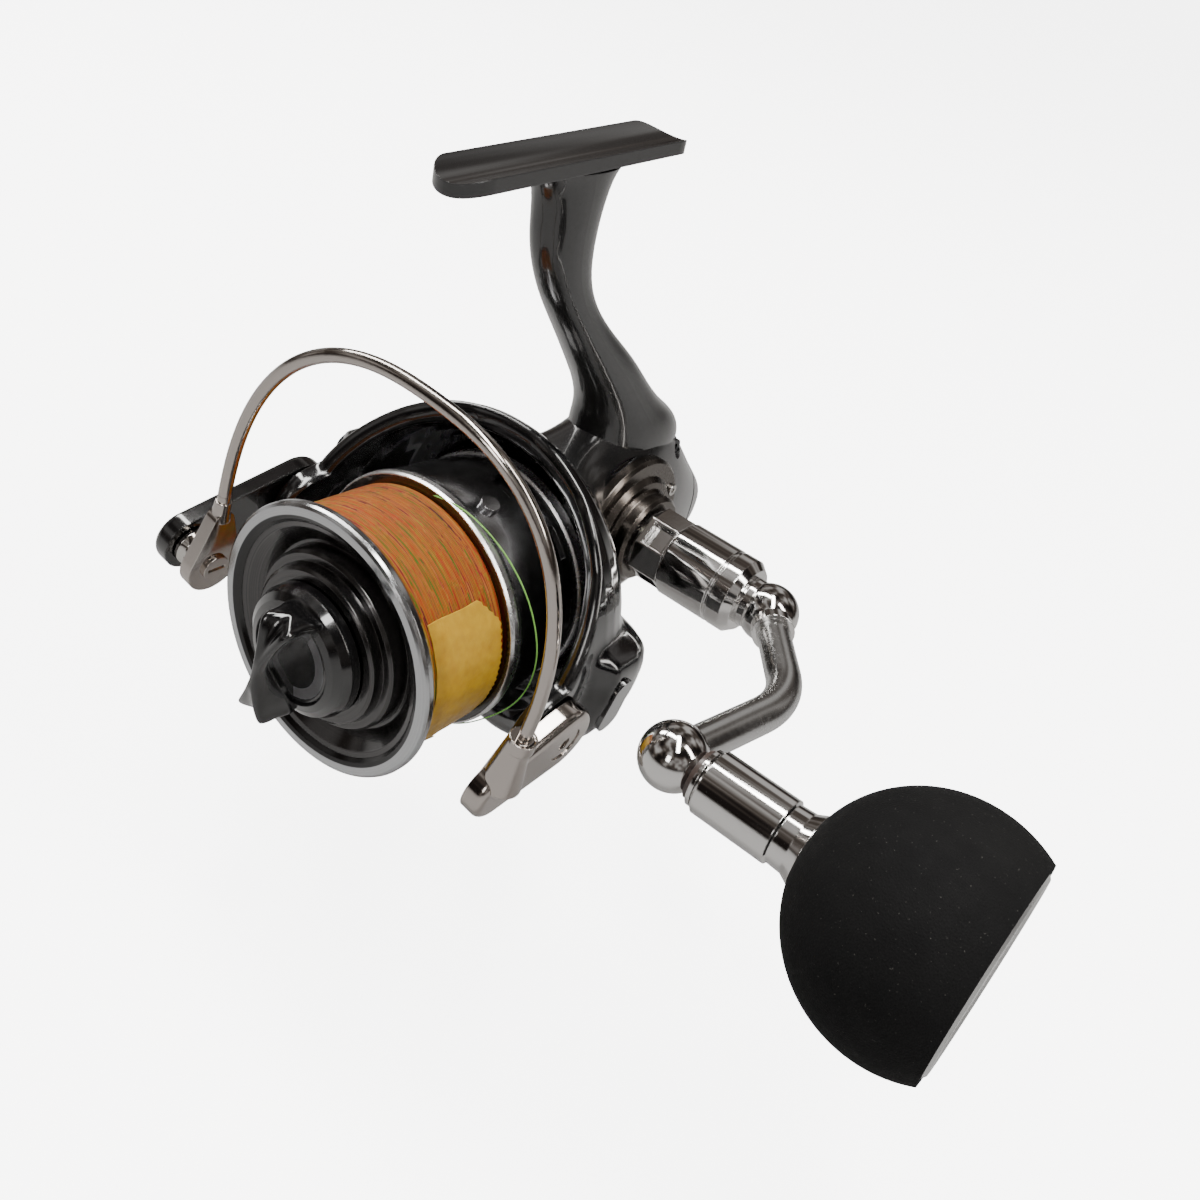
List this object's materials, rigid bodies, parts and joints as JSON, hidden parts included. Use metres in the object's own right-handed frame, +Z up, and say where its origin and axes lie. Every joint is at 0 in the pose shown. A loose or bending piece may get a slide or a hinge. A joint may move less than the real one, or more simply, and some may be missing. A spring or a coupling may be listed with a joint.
{
  "type": "spinning reel",
  "caption": "Spinning fishing reel with foot and stem, rotor with folding bail and line roller, spool of braided line, front drag knob, and a cranked handle with a round power knob.",
  "frame": {"origin": "middle of the hollow seat on top of the foot, where the rod's reel seat grips it", "axes": "+Z up out of the foot, away from the reel; +Y back along the spool axis, from the spool to the body's tail; +X to the handle side"},
  "size_m": [0.1885, 0.155, 0.1416],
  "materials": {
    "black_paint": "gloss black",
    "gunmetal": "dark anodised",
    "bright_chrome": "polished",
    "steel": "turned",
    "gear_alloy": "machined",
    "brass": "machined",
    "black_plastic": "gloss",
    "white_plastic": "moulded",
    "foam": "fine closed-cell foam",
    "braid": "multicolour braid",
    "tape": "crepe masking tape"
  },
  "bodies": {
    "reel_body": {"body_housing": "black_paint", "side_cover": "black_paint", "tail_cover": "black_paint", "cover_screw_1": "steel", "cover_screw_2": "steel", "cover_screw_3": "steel", "body_screw": "steel", "gear_boss": "gunmetal", "boss_screw": "steel", "handle_bearing": "steel", "cover_bearing": "steel", "cover_cap": "black_paint", "one_way_clutch": "steel", "pinion_bearing": "steel", "slider_rail_1": "steel", "slider_rail_2": "steel"},
    "crank": {"drive_gear": "gear_alloy", "slide_pinion": "gear_alloy", "handle_shank": "bright_chrome", "handle_sleeve": "bright_chrome", "handle_elbow": "bright_chrome", "handle_arm": "bright_chrome", "knob_socket": "bright_chrome", "knob_post": "steel"},
    "power_knob": {"knob_ring_1": "bright_chrome", "knob_ring_2": "bright_chrome", "knob_sleeve": "bright_chrome", "knob_ball": "foam", "knob_end_cap": "bright_chrome", "knob_bearing_1": "steel", "knob_bearing_2": "steel"},
    "slide_wheel": {"slide_gear": "brass"},
    "rotor": {"rotor_shell": "black_paint", "pinion_gear": "brass", "rotor_nut": "brass", "arm_cover_left": "black_paint", "arm_cover_right": "black_paint"},
    "bail": {"bail_wire": "bright_chrome", "bail_lever_left": "black_paint", "bail_lever_right": "bright_chrome", "pivot_screw_left": "bright_chrome", "pivot_screw_right": "bright_chrome", "wire_socket": "bright_chrome", "roller_cap": "bright_chrome", "roller_screw": "bright_chrome"},
    "roller": {"line_roller": "bright_chrome", "roller_bearing": "steel"},
    "shaft": {"main_shaft": "steel", "slider_block": "white_plastic", "spool_seat": "white_plastic"},
    "spool": {"spool_core": "gunmetal", "spool_lip": "bright_chrome", "skirt_band_front": "bright_chrome", "skirt_band_rear": "bright_chrome", "line_winding": "braid", "line_tape": "tape", "line_clip": "black_plastic", "drag_washers": "white_plastic"},
    "drag_knob": {"drag_knob_base": "black_plastic", "drag_knob_grip": "black_plastic"}
  },
  "joints": [
    {"name": "crank_turn", "type": "hinge", "parent": "reel_body", "child": "crank", "pos_m": [0, 0.0376, -0.0939], "axis": [1, 0, 0], "continuous": true},
    {"name": "knob_spin", "type": "hinge", "parent": "crank", "child": "power_knob", "pos_m": [0.0737, -0.0283, -0.0889], "axis": [1, 0, 0], "continuous": true},
    {"name": "slide_wheel_turn", "type": "hinge", "parent": "reel_body", "child": "slide_wheel", "pos_m": [-0.008, 0.053, -0.10728], "axis": [1, 0, 0], "continuous": true},
    {"name": "rotor_spin", "type": "hinge", "parent": "reel_body", "child": "rotor", "pos_m": [0, 0.0094, -0.1004], "axis": [0, 1, 0], "continuous": true},
    {"name": "bail_open", "type": "hinge", "parent": "rotor", "child": "bail", "pos_m": [-0.00053, -0.0201, -0.10356], "axis": [0.9863, 0, -0.165], "range_deg": [0, 100]},
    {"name": "roller_spin", "type": "hinge", "parent": "bail", "child": "roller", "pos_m": [-0.04061, -0.0494, -0.1007], "axis": [0.9863, 0, -0.165], "continuous": true},
    {"name": "spool_slide", "type": "slide", "parent": "reel_body", "child": "shaft", "axis": [0, -1, 0], "range_m": [0, 0.021]},
    {"name": "spool_spin", "type": "hinge", "parent": "shaft", "child": "spool", "pos_m": [0, -0.0286, -0.1004], "axis": [0, 1, 0], "continuous": true},
    {"name": "drag_turn", "type": "hinge", "parent": "shaft", "child": "drag_knob", "pos_m": [0, -0.0536, -0.1004], "axis": [0, 1, 0], "range_deg": [-540, 180]}
  ],
  "couplings": [
    {"joint": "rotor_spin", "follows": "crank_turn", "ratio": -5.7},
    {"joint": "slide_wheel_turn", "follows": "crank_turn", "ratio": -0.52941}
  ]
}
